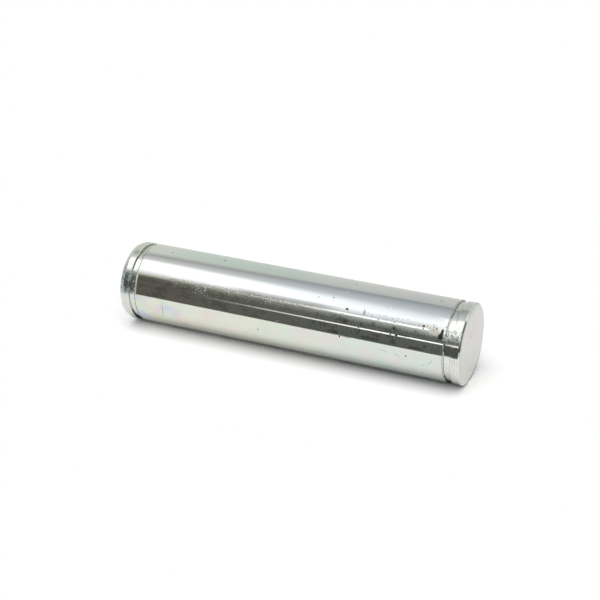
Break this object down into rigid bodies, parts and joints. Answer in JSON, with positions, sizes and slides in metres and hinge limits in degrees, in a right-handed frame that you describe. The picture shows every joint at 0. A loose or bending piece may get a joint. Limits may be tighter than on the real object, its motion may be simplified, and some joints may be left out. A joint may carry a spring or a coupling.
{
  "type": "pivot pin",
  "caption": "Straight round steel pivot pin with chamfered ends and a retaining ring groove near each end.",
  "frame": {"origin": "middle of the lower end face, on the pin's axis", "axes": "+Z along the pin's axis, towards the end that is nearer in the picture; -Y is the side that the picture shows"},
  "size_m": [0.03, 0.03, 0.135],
  "materials": {
    "zinc_plated_steel": "bright zinc plate over turned and polished steel, lightly worn and pitted"
  },
  "bodies": {
    "root": {"pivot_pin": "zinc_plated_steel"}
  },
  "joints": []
}
